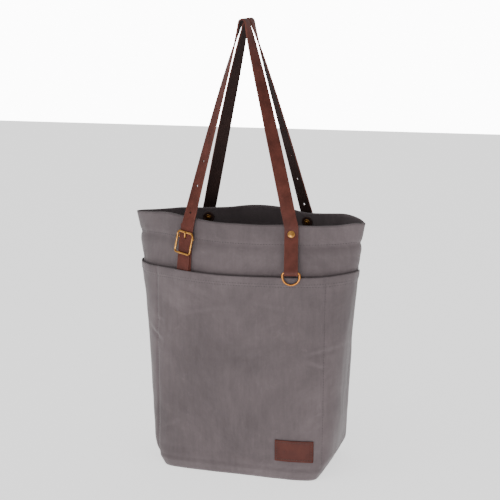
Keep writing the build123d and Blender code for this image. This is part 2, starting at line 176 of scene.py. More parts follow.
def cloth_surface(first, last, around, low, high, rows, lift):
    """
    A grid of cloth on the bag. first and last are shares of the way round, from the right
    side seam by the back; lift gives how far it stands off the canvas.
    """
    cloth = bmesh.new()
    uv = cloth.loops.layers.uv.new("cloth")
    bmesh.ops.create_grid(cloth, x_segments=around, y_segments=rows, size=0.5)
    full = round(around / (last - first))
    rings = []
    for row in range(rows + 1):
        height = low + (high - low) * row / rows
        rings.append(outline(height, full))
    start = round(first * full)
    girth = sum((a - b).length for a, b in zip(rings[rows // 2], rings[rows // 2][1:]))
    for face in cloth.faces:
        for loop in face.loops:
            u, v = loop.vert.co.x + 0.5, loop.vert.co.y + 0.5
            loop[uv].uv = ((first + u * (last - first)) * girth, low + v * (high - low))
    for vert in cloth.verts:
        column = start + round((vert.co.x + 0.5) * around)
        row = round((vert.co.y + 0.5) * rows)
        ring = rings[row]
        point = ring[column % full]
        ahead = ring[(column + 1) % full] - ring[(column - 1) % full]
        normal = Vector((ahead.y, -ahead.x, 0)).normalized()
        vert.co = point + normal * (drape(point) + lift(point)) + Vector((0, 0, rim_dip(point)))
    bmesh.ops.remove_doubles(cloth, verts=cloth.verts, dist=1e-6)
    return cloth


def finish_mesh(mesh, name, materials, sharp=50):
    """Turns a bmesh into an object at the origin; edges over the sharp angle stay crisp."""
    data = bpy.data.meshes.new(name)
    mesh.to_mesh(data)
    mesh.free()
    for material in materials:
        data.materials.append(material)
    for polygon in data.polygons:
        polygon.use_smooth = True
    data.set_sharp_from_angle(angle=math.radians(sharp))
    piece = bpy.data.objects.new(name, data)
    bpy.context.scene.collection.objects.link(piece)
    return piece


def colour(code, alpha=1.0):
    """Linear colour of an sRGB hex code."""
    parts = [int(code[i : i + 2], 16) / 255 for i in (1, 3, 5)]
    return (*[p / 12.92 if p <= 0.04045 else ((p + 0.055) / 1.055) ** 2.4 for p in parts], alpha)


def add(tree, kind, links=(), **settings):
    """Adds a node with its settings. links are (input, node, output) that feed it."""
    made = tree.nodes.new(kind)
    for key, value in settings.items():
        if hasattr(made, key):
            setattr(made, key, value)
        else:
            made.inputs[key.replace("_", " ")].default_value = value
    for socket, source, output in links:
        tree.links.new(source.outputs[output], made.inputs[socket])
    return made


def new_material(name):
    material = bpy.data.materials.new(name)
    material.use_nodes = True
    material.node_tree.nodes.clear()
    return material, material.node_tree


def ramp(tree, source, output, stops):
    """A colour ramp over a texture's value."""
    made = add(tree, "ShaderNodeValToRGB", [("Fac", source, output)])
    elements = made.color_ramp.elements
    while len(elements) < len(stops):
        elements.new(0.5)
    for element, (place, value) in zip(elements, stops):
        element.position = place
        element.color = value
    return made


THREAD_PITCH = 1.5 * MM


def waxed_canvas(name, light, middle, dark, roughness):
    """
    Cotton duck rubbed with wax: matte, with a faint sheen, cloudy where the wax lies
    thicker, and with paler rubbed spots. Threads are drawn 1.5 mm apart, twice as coarse
    as the real ones, so that they show, with painted shade in the gaps between them.
    """
    material, tree = new_material(name)
    cloth = add(tree, "ShaderNodeUVMap", uv_map="cloth")
    place = add(tree, "ShaderNodeTexCoord")
    clouds = add(tree, "ShaderNodeTexNoise", [("Vector", place, "Object")],
                 Scale=7.0, Detail=7.0, Roughness=0.68, Distortion=0.5)
    tones = [(0.30, colour(dark)), (0.52, colour(middle)), (0.74, colour(light))]
    tone = ramp(tree, clouds, "Fac", tones)
    # Wax draws out into streaks along the warp, a few millimetres apart.
    drawn = add(tree, "ShaderNodeMapping", [("Vector", cloth, "UV")])
    drawn.inputs["Scale"].default_value = (1.0, 0.16, 1.0)
    streaks = add(tree, "ShaderNodeTexNoise", [("Vector", drawn, "Vector")],
                  Scale=170.0, Detail=5.0, Roughness=0.65)
    streak = add(tree, "ShaderNodeMapRange", [("Value", streaks, "Fac")],
                 From_Min=0.25, From_Max=0.75, To_Min=0.90, To_Max=1.09)
    waxed = add(tree, "ShaderNodeVectorMath", [(0, tone, "Color"), ("Scale", streak, "Result")],
                operation="SCALE")
    rubs = add(tree, "ShaderNodeTexNoise", [("Vector", place, "Object")],
               Scale=30.0, Detail=8.0, Roughness=0.75, Distortion=1.6)
    rubbed = add(tree, "ShaderNodeMapRange", [("Value", rubs, "Fac")],
                 From_Min=0.58, From_Max=0.80, To_Min=0.0, To_Max=0.35)
    worn = add(tree, "ShaderNodeVectorMath", [(0, waxed, "Vector"), (1, rubbed, "Result")],
               operation="MULTIPLY_ADD")
    tree.links.new(waxed.outputs["Vector"], worn.inputs[2])
    threads = []
    for direction in ("X", "Y"):
        threads.append(add(tree, "ShaderNodeTexWave", [("Vector", cloth, "UV")],
                           bands_direction=direction, wave_profile="SIN",
                           Scale=math.tau / (20 * THREAD_PITCH), Distortion=0.6,
                           Detail=1.0, Detail_Scale=1.5))
    weave = add(tree, "ShaderNodeMath", [(0, threads[0], "Fac"), (1, threads[1], "Fac")],
                operation="MULTIPLY")
    fibres = add(tree, "ShaderNodeTexNoise", [("Vector", cloth, "UV")],
                 Scale=900.0, Detail=3.0, Roughness=0.6)
    surface = add(tree, "ShaderNodeMath", [(0, weave, "Value"), (1, fibres, "Fac")],
                  operation="ADD")
    # Painted shade: the colour is darkened where the weave sinks between the threads and lightened
    # on their crowns.
    thread_gap_shade = add(tree, "ShaderNodeMapRange", [("Value", weave, "Value")], To_Min=0.90, To_Max=1.06)
    shade = add(tree, "ShaderNodeVectorMath", [(0, worn, "Vector"), ("Scale", thread_gap_shade, "Result")],
                operation="SCALE")
    bump = add(tree, "ShaderNodeBump", [("Height", surface, "Value")],
               Strength=0.35, Distance=0.25 * MM)
    creases = add(tree, "ShaderNodeTexNoise", [("Vector", place, "Object")],
                  Scale=24.0, Detail=4.0, Roughness=0.5, Distortion=0.8)
    soft = add(tree, "ShaderNodeBump", [("Height", creases, "Fac"), ("Normal", bump, "Normal")],
               Strength=0.25, Distance=2.0 * MM)
    shader = add(tree, "ShaderNodeBsdfPrincipled",
                 [("Base Color", shade, "Vector"), ("Normal", soft, "Normal")],
                 Roughness=roughness, Sheen_Weight=0.25, Sheen_Roughness=0.5, IOR=1.45)
    add(tree, "ShaderNodeOutputMaterial", [("Surface", shader, "BSDF")])
    return material


outer_canvas = waxed_canvas("waxed_canvas_grey", "#726668", "#605557", "#4f4547", 0.78)
inner_canvas = waxed_canvas("canvas_lining_side", "#72686a", "#615759", "#52484a", 0.85)

AROUND = 240
ROWS = 120


def flat_lift(point):
    return 0.0


body = cloth_surface(0.0, 1.0, AROUND, 0.0, RIM_HEIGHT, ROWS, flat_lift)
foot = [edge for edge in body.edges if edge.is_boundary and edge.verts[0].co.z < HEM_LINE / 2]
bmesh.ops.holes_fill(body, edges=foot, sides=0)
bmesh.ops.recalc_face_normals(body, faces=body.faces)
for vert in body.verts:
    vert.co.z = max(vert.co.z, 0.0)
bag = finish_mesh(body, "canvas_body", [outer_canvas, inner_canvas])
wall = bag.modifiers.new("wall", "SOLIDIFY")
wall.thickness = CANVAS
wall.offset = -1
wall.material_offset = 1
wall.use_even_offset = True
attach(bag, "bag")
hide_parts("front_panel", "back_panel", "base_panel")

# ---- Front pocket ---------------------------------------------------------------------
# One more layer of canvas from side seam to side seam, sewn through near each end. Its top
# edge is turned twice and stands a little off the bag; the anchor strap goes down inside.

PLY = 1.0 * MM
LAYER = 0.4 * MM
SUNK = 0.15 * MM
POCKET_HEM = 12 * MM
STRAP_X = 84 * MM
DIVIDER_X = 130 * MM


def pocket_lift(point):
    """Pocket cloth over the canvas: flat low down, gaping at the mouth."""
    rise = max(0.0, (point.z - 92 * MM) / (POCKET_TOP - 92 * MM)) ** 2
    half_width = station(point.z)[0]
    middle = max(0.0, 1 - (abs(point.x) / half_width) ** 2.2) ** 0.5
    gape = 5.0 * MM * rise * middle
    gape += 2.6 * MM * hump(point.x, -STRAP_X, 15 * MM) * rise**3
    hem = 0.9 * MM / (1 + math.exp(-(point.z - POCKET_TOP + POCKET_HEM) / (0.9 * MM)))
    sewn_in = min(1, point.z / (40 * MM))
    drawn_in = 1.2 * MM * hump(abs(point.x), DIVIDER_X, 2.0 * MM) * (point.y < 0)
    return SUNK + (LAYER + PLY - SUNK) * sewn_in + gape + hem - drawn_in


def pocket_sag(x, height):
    """How far the pocket's cloth sags at a place; its upper edge waves a little."""
    share = min(max((height / MM - 230) / (POCKET_TOP / MM - 230), 0), 1) ** 2
    wave = 1.0 * math.sin(x / MM / 38 + 0.6) - 1.8 * hump(x / MM, 20, 60)
    return share * MM * (wave + 2.4 * hump(x / MM, -98, 36) + 3.6 * hump(x / MM, 172, 40))


pocket_mesh = cloth_surface(0.5, 1.0, AROUND, 1 * MM, POCKET_TOP, 150, pocket_lift)
for vert in pocket_mesh.verts:
    vert.co.z += pocket_sag(vert.co.x, vert.co.z)
pocket = finish_mesh(pocket_mesh, "front_pocket_cloth", [outer_canvas, inner_canvas])
wall = pocket.modifiers.new("wall", "SOLIDIFY")
wall.thickness = PLY
wall.offset = -1
wall.material_offset = 1
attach(pocket, "bag")
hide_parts("front_pocket")

# ---- Hem facing -----------------------------------------------------------------------
# The rim is turned inwards; the turned band lies inside and is sewn along its lower edge.


def facing_lift(point):
    return -(CANVAS + 0.4 * MM)


facing_mesh = cloth_surface(0.0, 1.0, AROUND, HEM_LINE - 3 * MM, RIM_HEIGHT, 12, facing_lift)
facing = finish_mesh(facing_mesh, "hem_band", [inner_canvas, inner_canvas])
wall = facing.modifiers.new("wall", "SOLIDIFY")
wall.thickness = PLY
wall.offset = -1
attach(facing, "bag")
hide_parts("front_hem_facing", "back_hem_facing")

# ---- Stitching ------------------------------------------------------------------------
# Grey thread, tone on tone: one row round the hem, two under the pocket's edge, and one
# down each divider of the pocket. Each stitch is 3 mm long and sunk halfway into the cloth.

THREAD = 0.45 * MM
STITCH = 3.0 * MM


def skin(x, height, side, lift):
    """A point on the bag's draped cloth and the direction straight out of it."""
    step = 0.5 * MM
    base = Vector((x, -side * canvas_y(x, height), height))
    ahead = Vector((x + step, -side * canvas_y(x + step, height), height))
    along = ahead - base
    normal = Vector((along.y, -along.x, 0)).normalized() * side
    point = base + normal * (drape(base) + lift(base)) + Vector((0, 0, rim_dip(base)))
    return point, normal


def sew(mesh, points, gap=1.2 * MM):
    """Lays stitches along a line of (point, normal) pairs."""
    travelled, next_start = 0.0, 0.0
    for (a, normal), (b, _) in zip(points, points[1:]):
        length = (b - a).length
        while next_start < travelled + length and length > 0:
            middle = a + (b - a) * ((next_start - travelled) / length)
            along = (b - a).normalized()
            across = normal.cross(along).normalized()
            turn = Matrix((along, across, along.cross(across))).transposed().to_4x4()
            size = Matrix.Diagonal((STITCH / 2, THREAD, THREAD, 1))
            bmesh.ops.create_icosphere(
                mesh, subdivisions=1, radius=1.0,
                matrix=Matrix.Translation(middle) @ turn @ size,
            )
            next_start += STITCH + gap
        travelled += length


def cotton_thread(name, code):
    """Waxed cotton thread: matte, a little fuzzy."""
    material, tree = new_material(name)
    shader = add(tree, "ShaderNodeBsdfPrincipled", Base_Color=colour(code), Roughness=0.8,
                 Sheen_Weight=0.3)
    add(tree, "ShaderNodeOutputMaterial", [("Surface", shader, "BSDF")])
    return material


grey_thread = cotton_thread("cotton_thread_grey", "#40373a")


def hem_row(side):
    reach = station(HEM_LINE + 2 * MM)[0] - 4 * MM
    xs = [reach * (2 * step / 150 - 1) for step in range(151)]
    return [skin(x, HEM_LINE + 2 * MM, side, lambda p: 0.1 * MM) for x in xs]


def pocket_place(x, height):
    """A point on the outside of the pocket, with its sag."""
    point, normal = skin(x, height, 1, pocket_lift)
    return point + Vector((0, 0, pocket_sag(x, height))), normal


sewn = bmesh.new()
for side in (1, -1):
    sew(sewn, hem_row(side))
for drop in (POCKET_HEM - 1.5 * MM, POCKET_HEM + 2.5 * MM):
    height = POCKET_TOP - drop
    reach = station(height)[0] - 4 * MM
    sew(sewn, [pocket_place(reach * (2 * step / 150 - 1), height) for step in range(151)])
for hand in (-1, 1):
    line = []
    for step in range(91):
        height = POCKET_TOP - POCKET_HEM - (POCKET_TOP - POCKET_HEM - 20 * MM) * step / 90
        line.append(pocket_place(hand * DIVIDER_X, height))
    sew(sewn, line)
thread = finish_mesh(sewn, "canvas_stitching", [grey_thread])
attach(thread, "bag")

# ---- Handle straps --------------------------------------------------------------------
# Each handle is one strip of 2.5 mm strap leather, 20 mm wide. Its holed end goes down
# under the buckle into the pocket; the other end is folded round the D-ring and riveted.

LEATHER = 2.5 * MM
STRAP_WIDTH = 20 * MM
RIVET_X = 81 * MM
BUCKLE_X = 80 * MM
RIVET_HEIGHT = 371 * MM
HINGE_HEIGHT = 381 * MM
RING_DROP = 56 * MM
D_RING_OFFSET = 12 * MM
PITCH = math.atan2(
    canvas_y(RIVET_X, POCKET_TOP) - canvas_y(RIVET_X, RIM_HEIGHT), RIM_HEIGHT - POCKET_TOP
)
END_PITCH = PITCH + math.atan2(D_RING_OFFSET - LEATHER, RING_DROP)
STRAP_YAW = 12
YAW = math.radians(STRAP_YAW)
LEAN = math.radians(9)
BUCKLE_DROP = 20 * MM
ANCHOR_FLOOR = 0.4 * MM
TAIL_FLOOR = ANCHOR_FLOOR + LEATHER + 1.0 * MM
FRAME_FLOOR = TAIL_FLOOR + LEATHER + 0.1 * MM
RING_FLOOR = 1.3 * MM
EYE = 1.9 * MM + LEATHER / 2
RING_BAR = RING_FLOOR + 1.5 * LEATHER - EYE
APEX_RADIUS = 5 * MM
APEX_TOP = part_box("front_handle_strap")[1].z - LEATHER / 2
APEX_Y = -13 * MM


class Plot:
    """A strap end's own axes: across the strap, up along it and out from the bag."""

    def __init__(self, hand, pitch, drop=0.0, lean=0.0):
        distance = RIVET_X if hand > 0 else BUCKLE_X
        slope = math.tan(PITCH)
        y = canvas_y(distance, RIM_HEIGHT) + 0.2 * MM + slope * (RIM_HEIGHT - RIVET_HEIGHT)
        plain = Matrix.Rotation(YAW * hand, 3, "Z") @ Matrix.Rotation(-pitch, 3, "X")
        turn = plain @ Matrix.Rotation(lean, 3, "Y")
        self.origin = Vector((hand * distance, -y, RIVET_HEIGHT)) - plain @ Vector((0, 0, drop))
        self.across = turn @ Vector((1, 0, 0))
        self.along = turn @ Vector((0, 0, 1))
        self.out = turn @ Vector((0, -1, 0))

    def at(self, across, along, out):
        return self.origin + self.across * across + self.along * along + self.out * out

    def matrix(self):
        turn = Matrix((self.across, self.along, self.out)).transposed().to_4x4()
        return Matrix.Translation(self.origin) @ turn


ring_plot = Plot(1, END_PITCH)
rim_plot = Plot(1, PITCH)
anchor_plot = Plot(-1, PITCH)
tail_plot = Plot(-1, PITCH, BUCKLE_DROP)
buckle_plot = Plot(-1, PITCH, BUCKLE_DROP, LEAN)
HINGE_RISE = (HINGE_HEIGHT - RIVET_HEIGHT) / math.cos(PITCH)
BUCKLE_RISE = (HINGE_RISE + BUCKLE_DROP) / math.cos(LEAN)
LEG_STEPS = 24
FIRST_TWIST = 53
LAST_TWIST = 25
LEG_SWAY = 1.2 * MM
TAIL_ASKEW = 2.6 * MM


def leg_stops(hand, start):
    """Stops up one leg, from its fold line: the strap turns edge-on as it nears the top."""
    lean = math.atan2(RIVET_X - APEX_RADIUS, APEX_TOP - HINGE_HEIGHT)
    end = Vector((
        hand * APEX_RADIUS * math.cos(lean), APEX_Y,
        APEX_TOP - APEX_RADIUS + APEX_RADIUS * math.sin(lean),
    ))
    stops = []
    for step in range(1, LEG_STEPS + 1):
        share = step / LEG_STEPS
        twist = math.radians(STRAP_YAW + FIRST_TWIST * share**0.85 + LAST_TWIST * share**6)
        width = Vector((-hand * math.cos(twist), -math.sin(twist), 0))
        sway = hand * LEG_SWAY * math.sin(math.pi * share)
        stops.append((start.lerp(end, share) + Vector((sway, 0, 0)), width))
    return stops


def handle_stops():
    """The strap's middle line and width direction, from its holed end to the D-ring end."""
    middle = LEATHER / 2
    stops = []
    # Below the buckle the holed end lies a little askew on the anchor strap.
    for along, out in ((-52, 4.1), (-44, 4.4), (-36, 4.7), (-28, 4.95), (-20, 5.15), (-12, 5.15)):
        askew = TAIL_ASKEW * (along + 8) / 44
        stops.append((tail_plot.at(askew, along * MM, out * MM), tail_plot.across))
    half_turn = tail_plot.across.lerp(buckle_plot.across, 0.5)
    stops.append((buckle_plot.at(0, 0, TAIL_FLOOR + middle), half_turn))
    for along in (10, 18, 25):
        stops.append((buckle_plot.at(0, along * MM, TAIL_FLOOR + middle), buckle_plot.across))
    left_start = buckle_plot.at(0, BUCKLE_RISE, TAIL_FLOOR + middle)
    stops.append((left_start, buckle_plot.across))
    stops += leg_stops(-1, left_start)
    for angle in range(150, 29, -20):
        turn = math.radians(angle)
        stops.append((
            Vector((APEX_RADIUS * math.cos(turn), APEX_Y,
                    APEX_TOP - APEX_RADIUS + APEX_RADIUS * math.sin(turn))),
            Vector((0, -1, 0)),
        ))
    outer = RING_FLOOR + LEATHER + middle
    right_start = rim_plot.at(0, HINGE_RISE, outer)
    stops += reversed(leg_stops(1, right_start))
    stops.append((right_start, -rim_plot.across))
    for along in (0, -14, -28, -40, -50):
        stops.append((ring_plot.at(0, along * MM, outer), -ring_plot.across))
    for angle in range(0, 181, 30):
        turn = math.radians(angle)
        stops.append((
            ring_plot.at(0, -RING_DROP - EYE * math.sin(turn), RING_BAR + EYE * math.cos(turn)),
            -ring_plot.across,
        ))
    for along, out in ((-50, -0.5), (-44, 1.0), (-38, 2.0), (-30, 2.45), (-15, 2.55), (7, 2.55)):
        stops.append((ring_plot.at(0, along * MM, out * MM), -ring_plot.across))
    return stops


def frames_along(stops, spacing):
    """Closely spaced (middle, across, out) frames on a smooth line through the stops."""
    points = [place for place, _ in stops]
    gaps = [(b - a).length for a, b in zip(points, points[1:])]
    heads = [(points[1] - points[0]).normalized()]
    for number in range(1, len(points) - 1):
        before = (points[number] - points[number - 1]).normalized()
        after = (points[number + 1] - points[number]).normalized()
        heads.append((before * gaps[number] + after * gaps[number - 1]).normalized())
    heads.append((points[-1] - points[-2]).normalized())
    line = []
    for number, gap in enumerate(gaps):
        pieces = max(2, round(gap / spacing))
        for piece in range(pieces):
            t = piece / pieces
            place = (
                points[number] * (2 * t**3 - 3 * t**2 + 1)
                + heads[number] * gap * (t**3 - 2 * t**2 + t)
                + points[number + 1] * (3 * t**2 - 2 * t**3)
                + heads[number + 1] * gap * (t**3 - t**2)
            )
            line.append((place, stops[number][1].lerp(stops[number + 1][1], t)))
    line.append(stops[-1])
    frames = []
    for number, (place, width) in enumerate(line):
        along = line[min(number + 1, len(line) - 1)][0] - line[max(number - 1, 0)][0]
        along.normalize()
        across = (width - along * width.dot(along)).normalized()
        frames.append((place, across, across.cross(along)))
    return frames


def sweep(frames, profile, closed=False):
    """Carries a closed profile of (across, out, material) points along the frames."""
    mesh = bmesh.new()
    count, rows = len(profile), len(frames) if closed else len(frames) - 1
    bmesh.ops.create_grid(mesh, x_segments=count, y_segments=rows, size=0.5)
    mesh.verts.index_update()
    place_of = {}
    for vert in mesh.verts:
        column, row = round((vert.co.x + 0.5) * count), round((vert.co.y + 0.5) * rows)
        place_of[vert.index] = (column, row)
    for face in mesh.faces:
        first = min(place_of[vert.index][0] for vert in face.verts)
        face.material_index = profile[first][2]
    for vert in mesh.verts:
        column, row = place_of[vert.index]
        centre, across, out = frames[row % len(frames)]
        spot = profile[column % count]
        vert.co = centre + across * spot[0] + out * spot[1]
    bmesh.ops.remove_doubles(mesh, verts=mesh.verts, dist=1e-6)
    ends = [edge for edge in mesh.edges if edge.is_boundary]
    if ends:
        bmesh.ops.holes_fill(mesh, edges=ends, sides=0)
    bmesh.ops.recalc_face_normals(mesh, faces=mesh.faces)
    return mesh


def strap_profile():
    """Cut strap leather: a faint crown on the grain side, bevelled and burnished edges."""
    half, thick, cut = STRAP_WIDTH / 2, LEATHER / 2, 0.6 * MM
    grain, edge, flesh = 0, 1, 2
    return [
        (-half + cut, thick - 0.05 * MM, grain), (-half * 0.5, thick, grain), (0, thick, grain),
        (half * 0.5, thick, grain), (half - cut, thick - 0.05 * MM, edge),
        (half, thick - cut, edge), (half, -thick + cut, edge),
        (half - cut, -thick, flesh), (half * 0.5, -thick, flesh), (-half * 0.5, -thick, flesh),
        (-half + cut, -thick, edge), (-half, -thick + cut, edge), (-half, thick - cut, edge),
    ]


def strap_leather(name, light, dark, roughness, coat):
    """
    Vegetable-tanned strap leather, dyed and lightly waxed: fine pores about 0.6 mm apart,
    darker where it was handled, smoother on the grain side than on the flesh side.
    """
    material, tree = new_material(name)
    place = add(tree, "ShaderNodeTexCoord")
    dye = add(tree, "ShaderNodeTexNoise", [("Vector", place, "Object")],
              Scale=45.0, Detail=6.0, Roughness=0.65)
    tone = ramp(tree, dye, "Fac", [(0.32, colour(dark)), (0.68, colour(light))])
    pores = add(tree, "ShaderNodeTexVoronoi", [("Vector", place, "Object")], Scale=1500.0)
    fine = add(tree, "ShaderNodeTexNoise", [("Vector", place, "Object")],
               Scale=420.0, Detail=4.0, Roughness=0.6)
    height = add(tree, "ShaderNodeMath", [(0, pores, "Distance"), (1, fine, "Fac")],
                 operation="ADD")
    bump = add(tree, "ShaderNodeBump", [("Height", height, "Value")],
               Strength=0.3, Distance=0.12 * MM)
    gloss = add(tree, "ShaderNodeMapRange", [("Value", dye, "Fac")],
                To_Min=roughness - 0.07, To_Max=roughness + 0.08)
    shader = add(tree, "ShaderNodeBsdfPrincipled",
                 [("Base Color", tone, "Color"), ("Normal", bump, "Normal"),
                  ("Roughness", gloss, "Result")],
                 Coat_Weight=coat, Coat_Roughness=0.4, IOR=1.45,
                 Specular_IOR_Level=0.25)
    add(tree, "ShaderNodeOutputMaterial", [("Surface", shader, "BSDF")])
    return material


grain_side = strap_leather("veg_tan_grain_brown", "#633229", "#482119", 0.48, 0.03)
cut_edge = strap_leather("veg_tan_cut_edge", "#6f4036", "#553028", 0.6, 0.0)
# The flesh side is partly its own rough, darker brown and partly painted shade: its colour is as
# dark as the strap's inner face in shadow.
shaded_flesh_side = strap_leather("veg_tan_flesh_painted_shade", "#33221f", "#251816", 0.85, 0.0)


def turned(mesh, side):
    """Turns a front piece half round to the back when side is -1."""
    if side < 0:
        bmesh.ops.rotate(mesh, verts=mesh.verts, matrix=Matrix.Rotation(math.pi, 3, "Z"))
    return mesh


def cut_holes(piece, places, radius):
    """Punches round holes through a strap at (point, direction) places."""
    punch = bmesh.new()
    for point, direction in places:
        turn = direction.to_track_quat("Z", "Y").to_matrix().to_4x4()
        bmesh.ops.create_cone(
            punch, cap_ends=True, segments=20, radius1=radius, radius2=radius,
            depth=4 * LEATHER, matrix=Matrix.Translation(point) @ turn,
        )
    for face in punch.faces:
        face.material_index = 1
    cutter = finish_mesh(punch, "punch", [grain_side, cut_edge])
    cut = piece.modifiers.new("holes", "BOOLEAN")
    cut.object = cutter
    cut.operation = "DIFFERENCE"
    cut.solver = "EXACT"
    shaped = bpy.data.meshes.new_from_object(
        piece.evaluated_get(bpy.context.evaluated_depsgraph_get())
    )
    piece.modifiers.clear()
    piece.data = shaped
    shaped.set_sharp_from_angle(angle=math.radians(40))
    bpy.data.objects.remove(cutter)


HOLE_RADIUS = 1.8 * MM
FIRST_HOLE = 15 * MM
HOLE_PITCH = 39.5 * MM
HOLES = 5
BAR_RISE = 8 * MM


def hole_places(frames):
    """Where the strap is punched: once for the tongue and five times up the leg."""
    places = [(buckle_plot.at(0, BAR_RISE, TAIL_FLOOR), buckle_plot.out)]
    fold = buckle_plot.at(0, BUCKLE_RISE, TAIL_FLOOR)
    start = min(range(len(frames)), key=lambda number: (frames[number][0] - fold).length)
    travelled = 0.0
    for a, b in zip(frames[start:], frames[start + 1 :]):
        travelled += (b[0] - a[0]).length
        if len(places) <= HOLES and travelled >= FIRST_HOLE + (len(places) - 1) * HOLE_PITCH:
            places.append((b[0], b[2]))
    return places


for prefix, side in (("front", 1), ("back", -1)):
    strap_frames = frames_along(handle_stops(), 3 * MM)
    strip = sweep(strap_frames, strap_profile())
    holes = hole_places(strap_frames)
    turn = Matrix.Rotation(0 if side > 0 else math.pi, 4, "Z")
    strap = finish_mesh(strip, f"{prefix}_handle_leather", [grain_side, cut_edge, shaded_flesh_side], 40)
    cut_holes(strap, holes, HOLE_RADIUS)
    strap.data.transform(turn)
    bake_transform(strap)
    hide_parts(f"{prefix}_handle_strap", f"{prefix}_strap_tail", f"{prefix}_strap_end")

# ---- Anchor straps --------------------------------------------------------------------
# A short strap of the same leather carries each buckle. It is riveted near the rim and
# goes down inside the pocket, where it is sewn to the bag.

STRAP_TOP = 8 * MM
ANCHOR_LENGTH = 74 * MM

for prefix, side in (("front", 1), ("back", -1)):
    stops = []
    for share in (0, 0.25, 0.5, 0.75, 1):
        along = STRAP_TOP - (STRAP_TOP + ANCHOR_LENGTH) * share
        stops.append((anchor_plot.at(0, along, ANCHOR_FLOOR + LEATHER / 2), -anchor_plot.across))
    strip = turned(sweep(frames_along(stops, 4 * MM), strap_profile()), side)
    strap = finish_mesh(strip, f"{prefix}_anchor_leather", [grain_side, cut_edge, shaded_flesh_side], 40)
    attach(strap, "bag")
    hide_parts(f"{prefix}_anchor_strap")

# ---- Buckles --------------------------------------------------------------------------
# Cast brass: a round-wire frame over the strap, thickened along the top where the tongue
# rests, a flat bar under the strap, and a tongue that comes up through the hole.

WIRE = 1.5 * MM
FRAME_WIDTH = 29 * MM - 2 * WIRE
FRAME_HEIGHT = 35 * MM - 2 * WIRE
FRAME_CORNER = 3.6 * MM


def joined(meshes):
    """One bmesh of several."""
    whole = bmesh.new()
    for mesh in meshes:
        data = bpy.data.meshes.new("part")
        mesh.to_mesh(data)
        mesh.free()
        whole.from_mesh(data)
        bpy.data.meshes.remove(data)
    return whole


def round_section(radius, count=12):
    """A round profile for a sweep."""
    turns = [math.tau * number / count for number in range(count)]
    return [(radius * math.cos(turn), radius * math.sin(turn), 0) for turn in turns]


def wire_frames(points, plot, height):
    """Frames round a closed flat loop of (across, along) points."""
    frames = []
    for number, (across, along) in enumerate(points):
        ahead, behind = points[(number + 1) % len(points)], points[number - 1]
        head = Vector((ahead[0] - behind[0], ahead[1] - behind[1])).normalized()
        sideways = plot.across * head.y - plot.along * head.x
        frames.append((plot.at(across, along, height), sideways, plot.out))
    return frames


def arc(centre, radius, first, last, count):
    """Points on an arc, angles in degrees."""
    turns = [math.radians(first + (last - first) * n / count) for n in range(count + 1)]
    return [(centre[0] + radius * math.cos(t), centre[1] + radius * math.sin(t)) for t in turns]


def buckle_loop():
    """The frame's middle line: slightly bowed sides and softly rounded corners."""
    x, y, corner = FRAME_WIDTH / 2, FRAME_HEIGHT / 2, FRAME_CORNER
    points = []
    for cx, cy, first in ((1, -1, -90), (1, 1, 0), (-1, 1, 90), (-1, -1, 180)):
        centre = (cx * (x - corner), cy * (y - corner))
        points += arc(centre, corner, first, first + 90, 7)
    spread = []
    for a, b in zip(points, [*points[1:], points[0]]):
        gap = math.hypot(b[0] - a[0], b[1] - a[1])
        pieces = max(1, round(gap / (2.5 * MM)))
        for piece in range(pieces):
            t = piece / pieces
            spread.append((a[0] + (b[0] - a[0]) * t, a[1] + (b[1] - a[1]) * t))
    return spread


def antique_brass(name, light, dark, roughness):
    """Solid brass, tumbled and lightly tarnished: warm, darker in the hollows and rubs."""
    material, tree = new_material(name)
    place = add(tree, "ShaderNodeTexCoord")
    tarnish = add(tree, "ShaderNodeTexNoise", [("Vector", place, "Object")],
                  Scale=130.0, Detail=5.0, Roughness=0.65)
    tone = ramp(tree, tarnish, "Fac", [(0.35, colour(dark)), (0.62, colour(light))])
    rub = add(tree, "ShaderNodeMapRange", [("Value", tarnish, "Fac")],
              To_Min=roughness + 0.14, To_Max=roughness - 0.08)
    scratches = add(tree, "ShaderNodeTexNoise", [("Vector", place, "Object")],
                    Scale=900.0, Detail=3.0, Roughness=0.7)
    bump = add(tree, "ShaderNodeBump", [("Height", scratches, "Fac")],
               Strength=0.15, Distance=0.05 * MM)
    shader = add(tree, "ShaderNodeBsdfPrincipled",
                 [("Base Color", tone, "Color"), ("Normal", bump, "Normal"),
                  ("Roughness", rub, "Result")], Metallic=1.0)
    add(tree, "ShaderNodeOutputMaterial", [("Surface", shader, "BSDF")])
    return material


brass = antique_brass("antique_brass_cast", "#d09a55", "#8a5c2e", 0.28)

